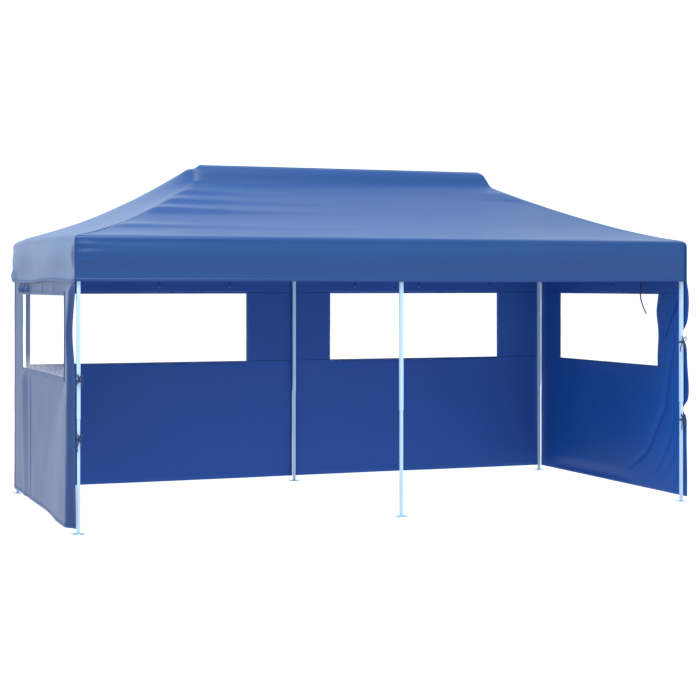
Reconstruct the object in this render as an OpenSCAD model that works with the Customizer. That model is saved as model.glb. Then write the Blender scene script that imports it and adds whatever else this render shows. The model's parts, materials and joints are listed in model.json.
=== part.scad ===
// Pop-up gazebo, 3 x 6 m class: six telescopic legs, scissor trusses, two drop masts,
// a sewn hip roof and four hung walls with film windows.
// Z is up, the ground is z = 0, X runs along the long side and the open front faces -Y.

/* [Plan] */
// Half of one bay: from a leg to the scissor joint beside it
half_bay = 1450; // [1200:10:1600]
// Distance from a leg's centre to its bar pins
leg_pin = 56; // [50:1:70]
// Distance from the gable bracket's centre to its mast arm pin
tee_pin = 29; // [26:1:34]

/* [Heights] */
// Height of the upper bar pins
top_pin_z = 2440; // [2200:10:2600]
// Height of the scissor truss, pin to pin, with the gazebo open
truss_h = 320; // [260:5:400]
// Height of the roof's edge
eave_z = 2480; // [2300:10:2650]
// Height that the roof rises from its edge to its ridge
roof_rise = 710; // [500:10:900]
// Height of the valance's lower hem
hem_z = 2095; // [1950:5:2200]

/* [Legs] */
// Width of the outer leg tube
leg_w = 30; // [25:1:40]
// Wall of the outer leg tube
leg_wall = 1.4; // [0.8:0.1:2]
// Height where the outer leg tube ends
leg_low_z = 950; // [850:10:1100]
// Width of the inner leg tube
inner_w = 25; // [20:1:35]
// Wall of the inner leg tube
inner_wall = 1.2; // [0.8:0.1:2]
// Height of the inner leg tube's top end
inner_top_z = 1150; // [1050:10:1300]
// Width of the square foot plate
foot_w = 100; // [80:5:140]
// Thickness of the foot plate
foot_t = 3; // [2:0.5:5]
// Distance between the foot plate's two peg holes
peg_spacing = 70; // [50:5:100]
// Radius of a peg hole
peg_r = 5; // [3:0.5:7]

/* [Scissor bars] */
// Height of a bar's oval section
bar_h = 24; // [18:1:30]
// Thickness of a bar
bar_t = 11; // [8:1:14]
// Wall of a bar's tube
bar_wall = 1.2; // [0.8:0.1:2]
// Length of the solid plug in each bar end
bar_plug = 40; // [25:5:60]
// Distance from the row's plane to the middle of each bar layer
layer = 6.5; // [6:0.5:9]

/* [Rivets] */
// Radius of a rivet's shank
rivet_r = 3.2; // [2:0.1:5]
// Radius of a rivet's head
head_r = 6; // [4:0.5:8]
// Thickness of a rivet's head
head_t = 2; // [1:0.5:3]

/* [Masts] */
// Radius of the mast tube
mast_r = 12.5; // [10:0.5:20]
// Height of the mast tube's top end
mast_top_z = 3146; // [2900:10:3300]
// Distance from the mast's centre to its arm pins
mast_pin = 27; // [24:1:34]

/* [Cloth] */
// Thickness of the roof and wall cloth
cloth_t = 1; // [0.5:0.1:3]
// Distance from a leg's centre out to the walls' outer face
wall_out = 25; // [24:1:40]
// Distance from a leg's centre out to the valance's outer face
valance_out = 35; // [30:1:60]
// Height of the walls' lower hem
wall_low_z = 50; // [20:5:100]
// Height of the walls' upper hem
wall_top_z = 2435; // [2200:5:2450]
// Height of the windows' lower edge
window_low_z = 1270; // [1000:10:1500]
// Height of the windows' upper edge
window_top_z = 1975; // [1700:10:2100]
// Thickness of the window film
film_t = 0.6; // [0.3:0.1:2]
// Width that the film laps behind the cloth
film_lap = 20; // [10:5:40]

/* [Hidden] */
$fn = 24;
gap = 0.3;
seam = 0.6;
arm_gap = 0.5;
ear_t = 3.5;
low_pin_z = top_pin_z - truss_h;
span = half_bay - leg_pin;
bar_angle = atan(truss_h / span);
bar_len = sqrt(span * span + truss_h * truss_h);
hole_r = rivet_r + gap;
bar_end_r = bar_h / 2;
pack_t = 2 * layer + bar_t;
clevis_in = bar_t + 2 * arm_gap;
clevis_out = clevis_in + 2 * ear_t;
collar_in = leg_w + 1;
collar_out = 43;
collar_low = low_pin_z - 25;
collar_h = 60;
cap_h = 15;
cap_top_t = 3;
cap_drop = 25;
height_hole_r = 4.5;
height_hole_step = 80;
button_up = 50;
button_r = 3.8;
button_h = 5;
button_hole_r = button_r + 0.4;
hub_drop = 16;
hub_h = 50;
mast_cap_r = 30;
mast_cap_top_r = 22;
mast_cap_h = 8;
mast_plug = 30;
through = 60;
leg_top_z = top_pin_z + 15;
tee_cap_z = 14;
tee_cap_t = 4;
row_x = 2 * half_bay;
row_y = half_bay;
eave_x = row_x + valance_out;
eave_y = row_y + valance_out;
roof_bands = [[0, 0.25, 0.5], [0.501, 0.7, 0.85], [0.851, 0.95, 1]];
wall_x = row_x + wall_out;
wall_y = row_y + wall_out;
pane_in = cloth_t + gap + film_t;
side_wall = 2 * row_y;
// The back walls reach from the middle leg to the corner legs, and meet beside it
mid_edge = 8;
back_left_start = -2815;
back_left_length = -back_left_start - mid_edge;
back_right_length = row_x - mid_edge;
// Where each window starts and ends, from its wall's own start
side_window = [450, 2450];
back_left_window = [43, 2297];
back_right_window = [409, 2384];
blue = [0.16, 0.28, 0.55];
tube_white = [0.78, 0.86, 0.95];
nylon = [0.72, 0.76, 0.82];
zinc = [0.62, 0.64, 0.67];

// ---- rivets and bars ----

// A rivet along Y through a stack of thickness grip. With one head, its far end is flush.
module rivet(grip, heads = 2) {
  reach = grip / 2 + gap;
  tail = heads == 2 ? reach : grip / 2;
  rotate([90, 0, 0]) {
    translate([0, 0, -tail])
      cylinder(r = rivet_r, h = tail + reach);
    translate([0, 0, reach])
      cylinder(r = head_r, h = head_t);
    if (heads == 2)
      translate([0, 0, -reach - head_t])
        cylinder(r = head_r, h = head_t);
  }
}

// A flat outline from x = from_x to a round end of radius r about the pin at x = to_x.
module tongue(from_x, to_x, r) {
  translate([to_x, 0])
    circle(r = r);
  translate([from_x, -r])
    square([to_x - from_x, 2 * r]);
}

// An oval bar from its first pin at the origin along +X, hollow between its end plugs.
module bar() {
  difference() {
    rotate([90, 0, 0])
      linear_extrude(bar_t, center = true) {
        circle(r = bar_end_r);
        tongue(0, bar_len, bar_end_r);
      }
    translate([bar_plug, -bar_t / 2 + bar_wall, -bar_h / 2 + bar_wall])
      cube([bar_len - 2 * bar_plug, bar_t - 2 * bar_wall, bar_h - 2 * bar_wall]);
    for (u = [0, bar_len / 2, bar_len])
      translate([u, 0, 0])
        rotate([90, 0, 0])
          cylinder(r = hole_r, h = bar_t + 2, center = true);
  }
}

// A bar of a truss that runs along +X: from the pin at u, dropping or rising to the next one.
module truss_bar(u, rising) {
  side = rising ? layer : -layer;
  translate([u, side, rising ? low_pin_z : top_pin_z])
    rotate([0, rising ? -bar_angle : bar_angle, 0])
      bar();
}

// One bar of a half bay that starts at first_u. The falling bar carries the rivet of the
// crossing, and end_rivet_z is the height of a joint rivet that the bar carries, if any.
module half_bay_bar(first_u, rising, end_rivet_z = 0) {
  color(tube_white)
    truss_bar(first_u, rising);
  color(zinc) {
    if (!rising)
      translate([first_u + span / 2, 0, (top_pin_z + low_pin_z) / 2])
        rivet(pack_t);
    if (end_rivet_z > 0)
      translate([first_u + (end_rivet_z > low_pin_z ? 0 : span), 0, end_rivet_z])
        rivet(pack_t);
  }
}

// The X of each half bay starts at a leg's pin or at a gable station.
function bar_start(n) = (n - 1) * half_bay + (n % 2 == 1 ? leg_pin : 0);

// Bars of the front and back rows; odd falling bars carry the rivet of the lower joint.
module row_bar(y, n, rising) {
  translate([-row_x, y, 0])
    half_bay_bar(bar_start(n), rising, !rising && n % 2 == 1 ? low_pin_z : 0);
}

// Bars of the side rows; their middle joints are two more rivets.
module side_bar(x, n, rising) {
  translate([x, -row_y, 0])
    rotate([0, 0, 90])
      half_bay_bar(bar_start(n), rising, rising ? 0 : (n == 1 ? low_pin_z : top_pin_z));
}

// ---- brackets ----

// Two bored ears along +X from the leg's face to the bar pin, with the pin's rivet.
module clevis(from_u, side) {
  translate([0, side, 0]) {
    difference() {
      for (s = [-1, 1])
        translate([0, s * (clevis_in + ear_t) / 2, 0])
          rotate([90, 0, 0])
            linear_extrude(ear_t, center = true)
              tongue(from_u, leg_pin, bar_end_r);
      translate([leg_pin, 0, 0])
        rotate([90, 0, 0])
          cylinder(r = hole_r, h = clevis_out + 2, center = true);
    }
  }
}

module clevis_rivet(side) {
  translate([leg_pin, side, 0])
    rivet(clevis_out);
}

// The turns about Z of the trusses that a leg carries, looking out along each from the leg.
// Looked at that way, its upper pin always holds the bar at -layer, and its lower at +layer.
function turns(at_x, at_y) = concat(
  at_x < 1 ? [0] : [],
  at_x > -1 ? [180] : [],
  at_x == 0 ? [] : [at_y < 0 ? 90 : 270]
);

// Outer leg tube with its height holes, top socket, ears and rivets.
module upper_leg(at_x, at_y) {
  translate([at_x * row_x, at_y * row_y, 0]) {
    color(tube_white)
      difference() {
        translate([-leg_w / 2, -leg_w / 2, leg_low_z])
          cube([leg_w, leg_w, leg_top_z - leg_low_z]);
        translate([-leg_w / 2 + leg_wall, -leg_w / 2 + leg_wall, leg_low_z - 1])
          cube([leg_w - 2 * leg_wall, leg_w - 2 * leg_wall, leg_top_z - leg_low_z + 2]);
        for (z = [leg_low_z + button_up : height_hole_step : leg_low_z + button_up + 2 * height_hole_step])
          translate([0, -at_y * leg_w / 2, z])
            rotate([90, 0, 0])
              cylinder(r = height_hole_r, h = 2 * leg_wall + 2, center = true);
      }
    color(nylon)
      translate([0, 0, top_pin_z]) {
        difference() {
          translate([-collar_out / 2, -collar_out / 2, -cap_drop])
            cube([collar_out, collar_out, cap_drop + cap_h + cap_top_t]);
          translate([-leg_w / 2 - gap, -leg_w / 2 - gap, -cap_drop - 1])
            cube([leg_w + 2 * gap, leg_w + 2 * gap, cap_drop + 1 + cap_h + gap]);
        }
        for (t = turns(at_x, at_y))
          rotate([0, 0, t])
            clevis(collar_out / 2 - 1, -layer);
      }
    color(zinc)
      for (t = turns(at_x, at_y))
        translate([0, 0, top_pin_z])
          rotate([0, 0, t])
            clevis_rivet(-layer);
  }
}

// Sliding collar with the ears of the lower bar pins.
module collar(at_x, at_y) {
  translate([at_x * row_x, at_y * row_y, low_pin_z]) {
    color(nylon) {
      difference() {
        translate([-collar_out / 2, -collar_out / 2, collar_low - low_pin_z])
          cube([collar_out, collar_out, collar_h]);
        translate([-collar_in / 2, -collar_in / 2, collar_low - low_pin_z - 1])
          cube([collar_in, collar_in, collar_h + 2]);
      }
      for (t = turns(at_x, at_y))
        rotate([0, 0, t])
          clevis(collar_out / 2 - 1, layer);
    }
    color(zinc)
      for (t = turns(at_x, at_y))
        rotate([0, 0, t])
          clevis_rivet(layer);
  }
}

// Inner leg tube welded to its foot plate, with the spring button that locks its height.
module lower_leg(at_x, at_y) {
  translate([at_x * row_x, at_y * row_y, 0]) {
    color(tube_white)
      difference() {
        union() {
          translate([-foot_w / 2, -foot_w / 2, 0])
            cube([foot_w, foot_w, foot_t]);
          translate([-inner_w / 2, -inner_w / 2, 0])
            cube([inner_w, inner_w, inner_top_z]);
        }
        translate([-inner_w / 2 + inner_wall, -inner_w / 2 + inner_wall, foot_t])
          cube([inner_w - 2 * inner_wall, inner_w - 2 * inner_wall, inner_top_z]);
        for (s = [-1, 1])
          translate([s * peg_spacing / 2, 0, -1])
            cylinder(r = peg_r, h = foot_t + 2);
        translate([0, -at_y * inner_w / 2, leg_low_z + button_up])
          rotate([90, 0, 0])
            cylinder(r = button_hole_r, h = 2 * inner_wall + 2, center = true);
      }
    color(zinc)
      translate([0, -at_y * (inner_w / 2 - 2), leg_low_z + button_up])
        rotate([90, 0, 0])
          cylinder(r = button_r, h = button_h, center = true);
  }
}

// Gable bracket over the joint of two perimeter bars, with ears for the mast arm.
module tee(x, at_y) {
  translate([x, at_y * row_y, top_pin_z]) {
    rotate([0, 0, at_y < 0 ? 0 : 180]) {
      color(nylon)
        difference() {
          union() {
            for (s = [-1, 1])
              translate([0, s * (pack_t / 2 + arm_gap + ear_t / 2), 0])
                rotate([90, 0, 0])
                  linear_extrude(ear_t, center = true)
                    rotate(-90)
                      tongue(-tee_cap_z - tee_cap_t, 0, bar_end_r + 1);
            translate([-bar_end_r - 1, -pack_t / 2 - arm_gap - ear_t, tee_cap_z])
              cube([2 * bar_end_r + 2, pack_t + 2 * arm_gap + 2 * ear_t, tee_cap_t]);
            for (s = [-1, 1])
              translate([s * (clevis_in + ear_t) / 2, 0, 0])
                rotate([90, 0, 90])
                  linear_extrude(ear_t, center = true)
                    tongue(pack_t / 2 + arm_gap, tee_pin, bar_end_r);
          }
          rotate([90, 0, 0])
            cylinder(r = hole_r, h = through, center = true);
          translate([0, tee_pin, 0])
            rotate([0, 90, 0])
              cylinder(r = hole_r, h = through, center = true);
        }
      color(zinc) {
        rivet(pack_t + 2 * arm_gap + 2 * ear_t, heads = 1);
        translate([0, tee_pin, 0])
          rotate([0, 0, 90])
            rivet(clevis_out);
      }
    }
  }
}

// Arm from a gable bracket down to the mast's hub.
module mast_arm(x, at_y) {
  color(tube_white)
    translate([x, at_y * (row_y - tee_pin), top_pin_z])
      rotate([0, 0, at_y < 0 ? 90 : 270])
        rotate([0, bar_angle, 0])
          bar();
}

// Mast tube with its hub, arm rivets and round cap under the peak of the roof.
module mast(x) {
  translate([x, 0, 0]) {
    color(tube_white)
      difference() {
        translate([0, 0, low_pin_z - hub_drop])
          cylinder(r = mast_r, h = mast_top_z - low_pin_z + hub_drop, $fn = 32);
        translate([0, 0, low_pin_z - hub_drop - 1])
          cylinder(r = mast_r - leg_wall, h = mast_top_z - low_pin_z + hub_drop + 2, $fn = 32);
      }
    color(nylon) {
      translate([0, 0, low_pin_z])
        difference() {
          union() {
            translate([-clevis_out / 2, -mast_r - 1, -hub_drop])
              cube([clevis_out, 2 * mast_r + 2, hub_h]);
            for (s = [-1, 1])
              translate([s * (clevis_in + ear_t) / 2, 0, 0])
                rotate([90, 0, 90])
                  linear_extrude(ear_t, center = true) {
                    tongue(0, mast_pin, bar_end_r);
                    rotate(180)
                      tongue(0, mast_pin, bar_end_r);
                  }
          }
          translate([0, 0, -hub_drop - 1])
            cylinder(r = mast_r + gap, h = through, $fn = 32);
          for (s = [-1, 1])
            translate([0, s * mast_pin, 0])
              rotate([0, 90, 0])
                cylinder(r = hole_r, h = through, center = true);
        }
      translate([0, 0, mast_top_z + gap])
        cylinder(r1 = mast_cap_r, r2 = mast_cap_top_r, h = mast_cap_h, $fn = 32);
      translate([0, 0, mast_top_z - mast_plug])
        cylinder(r = mast_r - leg_wall - gap, h = mast_plug + gap + 1, $fn = 32);
    }
    color(zinc)
      for (s = [-1, 1])
        translate([0, s * mast_pin, low_pin_z])
          rotate([0, 0, 90])
            rivet(clevis_out);
  }
}

// ---- cloth ----

// Share of the rise at a share t of the way from the roof's edge to its ridge: the
// cloth sags between the mast and the edge, so it is flat below and steep above.
function slope(t) = 0.75 * pow(t, 1.3) + 0.25 * pow(t, 6);
function slope_point(t, drop) = [t * (eave_y - seam), eave_z + roof_rise * slope(t) + drop];

// One roof panel, its edge along X at y = -eave_y, cut at the hips. It is three closed
// bands, one above the other, each nearly flat.
module roof_panel(edge_half, ridge_half) {
  for (band = roof_bands)
    intersection() {
      translate([0, -eave_y, 0])
        rotate([90, 0, 90])
          linear_extrude(2 * edge_half, center = true)
            polygon(concat(
              [for (t = band) slope_point(t, 0)],
              [for (i = [len(band) - 1 : -1 : 0]) slope_point(band[i], -1.2 * cloth_t)]
            ));
      linear_extrude(eave_z + roof_rise + 10)
        polygon([
          [-edge_half + seam, -eave_y - 1],
          [edge_half - seam, -eave_y - 1],
          [ridge_half, 0],
          [-ridge_half, 0]
        ]);
    }
}

// Sewn roof: two long slopes, two hips and four valance strips, a seam apart.
module roof() {
  color(blue) {
    for (turn = [0, 180])
      rotate([0, 0, turn]) {
        roof_panel(eave_x - 1, eave_x - eave_y - 1);
        translate([-eave_x + cloth_t + seam, -eave_y, hem_z])
          cube([2 * (eave_x - cloth_t - seam), cloth_t, eave_z - hem_z - 2 * cloth_t]);
        translate([-eave_x, -eave_y, hem_z])
          cube([cloth_t, 2 * eave_y, eave_z - hem_z - 2 * cloth_t]);
        translate([-eave_x + eave_y, 0, 0])
          rotate([0, 0, -90])
            roof_panel(eave_y - 1, 1);
      }
  }
}

// A wall along +X from the origin, sewn from a skirt, two stiles beside the window and a
// band above it. The window runs from near to far.
module wall(length, near, far) {
  color(blue) {
    translate([0, 0, wall_low_z])
      cube([length, cloth_t, window_low_z - wall_low_z]);
    translate([0, 0, window_low_z + seam])
      cube([near, cloth_t, window_top_z - window_low_z - 2 * seam]);
    translate([far, 0, window_low_z + seam])
      cube([length - far, cloth_t, window_top_z - window_low_z - 2 * seam]);
    translate([0, 0, window_top_z])
      cube([length, cloth_t, wall_top_z - window_top_z]);
  }
}

// Clear film behind a window, lapped past the opening on every side.
module pane(near, far) {
  color([0.85, 0.9, 0.95, 0.4])
    translate([near - film_lap, 0, window_low_z - film_lap])
      cube([far - near + 2 * film_lap, film_t, window_top_z - window_low_z + 2 * film_lap]);
}

module wall_left() {
  translate([-wall_x, row_y, 0])
    rotate([0, 0, -90])
      wall(side_wall, side_window[0], side_window[1]);
}

module wall_right() {
  translate([wall_x, -row_y, 0])
    rotate([0, 0, 90])
      wall(side_wall, side_window[0], side_window[1]);
}

module wall_back_left() {
  translate([back_left_start, wall_y - cloth_t, 0])
    wall(back_left_length, back_left_window[0], back_left_window[1]);
}

module wall_back_right() {
  translate([mid_edge, wall_y - cloth_t, 0])
    wall(back_right_length, back_right_window[0], back_right_window[1]);
}

module pane_left() {
  translate([-wall_x + pane_in, row_y, 0])
    rotate([0, 0, -90])
      pane(side_window[0], side_window[1]);
}

module pane_right() {
  translate([wall_x - pane_in, -row_y, 0])
    rotate([0, 0, 90])
      pane(side_window[0], side_window[1]);
}

// The back walls' two films make one node, as they hang and fold together
module pane_back() {
  translate([back_left_start, wall_y - pane_in, 0])
    pane(back_left_window[0], back_left_window[1]);
  translate([mid_edge, wall_y - pane_in, 0])
    pane(back_right_window[0], back_right_window[1]);
}

upper_leg(-1, -1);  // upper_leg_front_left
upper_leg(0, -1);  // upper_leg_front_middle
upper_leg(1, -1);  // upper_leg_front_right
upper_leg(-1, 1);  // upper_leg_back_left
upper_leg(0, 1);  // upper_leg_back_middle
upper_leg(1, 1);  // upper_leg_back_right
lower_leg(-1, -1);  // lower_leg_front_left
lower_leg(0, -1);  // lower_leg_front_middle
lower_leg(1, -1);  // lower_leg_front_right
lower_leg(-1, 1);  // lower_leg_back_left
lower_leg(0, 1);  // lower_leg_back_middle
lower_leg(1, 1);  // lower_leg_back_right
collar(-1, -1);  // collar_front_left
collar(0, -1);  // collar_front_middle
collar(1, -1);  // collar_front_right
collar(-1, 1);  // collar_back_left
collar(0, 1);  // collar_back_middle
collar(1, 1);  // collar_back_right
row_bar(-row_y, 1, false);  // bar_front_1a
row_bar(-row_y, 1, true);  // bar_front_1b
row_bar(-row_y, 2, false);  // bar_front_2a
row_bar(-row_y, 2, true);  // bar_front_2b
row_bar(-row_y, 3, false);  // bar_front_3a
row_bar(-row_y, 3, true);  // bar_front_3b
row_bar(-row_y, 4, false);  // bar_front_4a
row_bar(-row_y, 4, true);  // bar_front_4b
row_bar(row_y, 1, false);  // bar_back_1a
row_bar(row_y, 1, true);  // bar_back_1b
row_bar(row_y, 2, false);  // bar_back_2a
row_bar(row_y, 2, true);  // bar_back_2b
row_bar(row_y, 3, false);  // bar_back_3a
row_bar(row_y, 3, true);  // bar_back_3b
row_bar(row_y, 4, false);  // bar_back_4a
row_bar(row_y, 4, true);  // bar_back_4b
side_bar(-row_x, 1, false);  // bar_left_1a
side_bar(-row_x, 1, true);  // bar_left_1b
side_bar(-row_x, 2, false);  // bar_left_2a
side_bar(-row_x, 2, true);  // bar_left_2b
side_bar(row_x, 1, false);  // bar_right_1a
side_bar(row_x, 1, true);  // bar_right_1b
side_bar(row_x, 2, false);  // bar_right_2a
side_bar(row_x, 2, true);  // bar_right_2b
tee(-half_bay, -1);  // tee_left_front
tee(-half_bay, 1);  // tee_left_back
tee(half_bay, -1);  // tee_right_front
tee(half_bay, 1);  // tee_right_back
mast_arm(-half_bay, -1);  // mast_arm_left_front
mast_arm(-half_bay, 1);  // mast_arm_left_back
mast_arm(half_bay, -1);  // mast_arm_right_front
mast_arm(half_bay, 1);  // mast_arm_right_back
mast(-half_bay);  // mast_left
mast(half_bay);  // mast_right
roof();  // roof_canopy
wall_left();
wall_right();
wall_back_left();
wall_back_right();
pane_left();
pane_right();
pane_back();
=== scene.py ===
# %% [markdown]
# # A pop up gazebo
# The frame of steel tubes comes from the CAD model. This script dresses it: the sewn
# roof, the four walls with their film windows, the ties, the seams and every finish.
# Everything is in metres, in the frame of the CAD model, so pieces go where it says.

# %% Load the frame
import json
import math

import bpy
import numpy as np
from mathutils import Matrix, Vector, noise

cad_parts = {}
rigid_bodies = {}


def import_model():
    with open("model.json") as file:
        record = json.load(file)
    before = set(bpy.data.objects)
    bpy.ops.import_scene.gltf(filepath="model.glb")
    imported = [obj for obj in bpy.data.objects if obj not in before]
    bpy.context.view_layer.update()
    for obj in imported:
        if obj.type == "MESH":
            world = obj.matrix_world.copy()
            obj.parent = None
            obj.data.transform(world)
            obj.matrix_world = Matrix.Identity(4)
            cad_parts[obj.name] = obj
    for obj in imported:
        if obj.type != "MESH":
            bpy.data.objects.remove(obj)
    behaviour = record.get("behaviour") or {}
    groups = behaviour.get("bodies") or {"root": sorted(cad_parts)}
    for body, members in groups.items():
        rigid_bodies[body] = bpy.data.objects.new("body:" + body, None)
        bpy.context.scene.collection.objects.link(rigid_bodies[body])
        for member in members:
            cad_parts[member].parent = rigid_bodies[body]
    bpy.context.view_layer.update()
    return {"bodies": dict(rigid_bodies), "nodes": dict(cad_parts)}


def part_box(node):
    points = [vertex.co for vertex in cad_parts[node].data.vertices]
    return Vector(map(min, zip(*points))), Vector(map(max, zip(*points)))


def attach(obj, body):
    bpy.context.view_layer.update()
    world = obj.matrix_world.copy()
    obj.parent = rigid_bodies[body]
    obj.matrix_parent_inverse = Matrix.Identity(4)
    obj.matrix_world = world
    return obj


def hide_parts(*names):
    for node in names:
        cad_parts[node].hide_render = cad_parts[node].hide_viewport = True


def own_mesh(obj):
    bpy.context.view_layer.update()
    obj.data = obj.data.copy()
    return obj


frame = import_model()

# %% [markdown]
# ## Measures
# The driving sizes are read from the CAD nodes: where the legs stand, how far out the
# roof and walls hang, and where the windows are. The roof's edge is one fixed rise below
# its ridge.

# %% Measures
def middle(node):
    low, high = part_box(node)
    return (low + high) / 2


LEG_X = middle("lower_leg_front_right").x
LEG_Y = middle("lower_leg_back_right").y
TUBE = 0.030
roof_low, roof_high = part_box("roof_canopy")
ROOF_X, ROOF_Y = roof_high.x, roof_high.y
HEM_Z, RIDGE_Z = roof_low.z, roof_high.z
RISE = 0.71
EAVE_Z = RIDGE_Z - RISE
FILM_LAP = 0.02
WALL_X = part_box("wall_right")[1].x
WALL_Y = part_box("wall_back_right")[1].y
WALL_LOW, WALL_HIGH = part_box("wall_left")[0].z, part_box("wall_left")[1].z
WINDOW_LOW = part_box("pane_left")[0].z + FILM_LAP
WINDOW_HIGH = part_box("pane_left")[1].z - FILM_LAP
print("legs at", round(LEG_X, 3), round(LEG_Y, 3), "roof edge", round(EAVE_Z, 3))

# %% [markdown]
# ## Camera, floor and light
# The gazebo is seen from its left front, from about head height and far away, so its
# upright lines stay upright. The camera is level, and a small lens shift frames it.
# The light is a plain white studio: a bright sky all round, a pale floor, and one large
# soft lamp overhead, a little to the front left, that gives the cloth its sheen.

# %% Camera
CAMERA_PLACE = Vector((-5.725, -14.967, 2.064))
CAMERA_TURN = 0.3695
SENSOR = 36.0
LENS = 84.7

camera_data = bpy.data.cameras.new("camera")
camera_data.sensor_width = SENSOR
camera_data.lens = LENS
camera_data.shift_y = -0.093
camera = bpy.data.objects.new("camera", camera_data)
camera.location = CAMERA_PLACE
camera.rotation_euler = (math.radians(90), 0, -CAMERA_TURN)
bpy.context.scene.collection.objects.link(camera)
bpy.context.scene.camera = camera

# %% Shader sums as Python expressions
class Sum:
    """Wraps a number socket, so that + - * / on it add Math nodes."""

    def __init__(self, nodes, socket):
        self.nodes, self.socket = nodes, socket

    def _math(self, operation, a, b):
        return self.nodes.add("ShaderNodeMath", {"operation": operation}, {0: a, 1: b})

    def __add__(self, other):
        return self._math("ADD", self, other)

    def __mul__(self, other):
        return self._math("MULTIPLY", self, other)

    def __sub__(self, other):
        return self._math("SUBTRACT", self, other)

    def __rsub__(self, other):
        return self._math("SUBTRACT", other, self)

    def __truediv__(self, other):
        return self._math("DIVIDE", self, other)

    __radd__, __rmul__ = __add__, __mul__

    def power(self, other):
        return self._math("POWER", self, other)

    def clamp(self):
        found = self._math("ADD", self, 0.0)
        found.socket.node.use_clamp = True
        return found


class Nodes:
    """One material's node tree."""

    def __init__(self, name):
        self.material = bpy.data.materials.new(name)
        self.material.use_nodes = True
        self.tree = self.material.node_tree
        self.tree.nodes.clear()
        self.output = self.tree.nodes.new("ShaderNodeOutputMaterial")

    def add(self, kind, settings=None, inputs=None, out=0):
        """Adds a node: its settings first, then the values or links of its sockets."""
        node = self.tree.nodes.new(kind)
        for key, value in (settings or {}).items():
            if key == "stops":
                ramp = node.color_ramp.elements
                while len(ramp) < len(value):
                    ramp.new(0.5)
                for stop, (place, colour) in zip(ramp, value):
                    stop.position, stop.color = place, colour
            else:
                setattr(node, key, value)
        for key, value in (inputs or {}).items():
            socket = node.inputs[key]
            if isinstance(value, Sum):
                self.tree.links.new(value.socket, socket)
            else:
                socket.default_value = value
        return Sum(self, node.outputs[out])

    def place(self):
        return self.add("ShaderNodeTexCoord", out="Object")

    def grain(self, where, scale, detail=2.0, roughness=0.5, distortion=0.0):
        return self.add("ShaderNodeTexNoise", {}, {
            "Vector": where, "Scale": scale, "Detail": detail,
            "Roughness": roughness, "Distortion": distortion})

    def tint(self, share, dark, light):
        return self.add("ShaderNodeMix", {"data_type": "RGBA"},
                        {0: share, 6: (*dark, 1.0), 7: (*light, 1.0)}, out=2)

    def bump(self, height, strength, distance, normal=None):
        inputs = {"Height": height, "Strength": strength, "Distance": distance}
        if normal is not None:
            inputs["Normal"] = normal
        return self.add("ShaderNodeBump", {}, inputs)

    def skin(self, **inputs):
        """The Principled surface; inputs are named by their sockets, with _ for spaces."""
        named = {key.replace("_", " "): value for key, value in inputs.items()}
        shader = self.add("ShaderNodeBsdfPrincipled", {}, named)
        self.tree.links.new(shader.socket, self.output.inputs["Surface"])
        return self.material


# %% Floor and light
def flat_quad(name, corners):
    mesh = bpy.data.meshes.new(name)
    mesh.from_pydata(corners, [], [(0, 1, 2, 3)])
    made = bpy.data.objects.new(name, mesh)
    bpy.context.scene.collection.objects.link(made)
    return made


def floor_finish():
    n = Nodes("studio floor")
    return n.skin(Base_Color=(0.16, 0.17, 0.18, 1), Roughness=0.9, Specular_IOR_Level=0.1,
                  Emission_Color=(1.0, 1.03, 1.08, 1), Emission_Strength=0.97)


FLOOR = 60.0
floor = flat_quad("floor", [(-FLOOR, -FLOOR, 0), (FLOOR, -FLOOR, 0), (FLOOR, FLOOR, 0), (-FLOOR, FLOOR, 0)])
floor.data.materials.append(floor_finish())

world = bpy.data.worlds.new("studio")
world.use_nodes = True
world.node_tree.nodes["Background"].inputs["Color"].default_value = (1.0, 1.1, 1.24, 1)
world.node_tree.nodes["Background"].inputs["Strength"].default_value = 1.06
bpy.context.scene.world = world


def soft_lamp(name, place, target, size, power):
    data = bpy.data.lights.new(name, "AREA")
    data.shape = "SQUARE"
    data.size = size
    data.energy = power
    lamp = bpy.data.objects.new(name, data)
    lamp.location = place
    lamp.rotation_euler = (Vector(target) - Vector(place)).to_track_quat("-Z", "Y").to_euler()
    bpy.context.scene.collection.objects.link(lamp)


soft_lamp("lamp overhead", (-3.0, -4.0, 9.5), (0, 0, 2.8), 6.0, 820)
bpy.context.scene.view_settings.view_transform = "Standard"
print("camera", [round(v, 3) for v in camera.location], "lens", LENS)

# %% [markdown]
# ## Finishes
# The cloth is a coated polyester: a tight weave under a thin coat. Seen straight on it is
# a deep blue, and at a low angle it mirrors the sky and turns grey, as coated cloth does.
# The colour varies a little over the cloth, and the weave is two crossed sets of threads
# in the bump. The tubes are powder coated steel, with the fine orange peel of the powder.

# %% Cloth
CLOTH_BLUE = (0.001, 0.038, 0.150)
CLOTH_LIGHT = (0.003, 0.047, 0.180)


def weave(n, where, thread):
    """The height of a plain weave: threads along X and along Z or Y, one over the other."""
    waves = []
    for direction in ("X", "Y", "Z"):
        waves.append(n.add("ShaderNodeTexWave", {"bands_direction": direction}, {
            "Vector": where, "Scale": 0.5 / thread, "Distortion": 0.6, "Detail": 1.0}, out="Fac"))
    return (waves[0] + waves[1] + waves[2]) / 3.0


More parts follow.
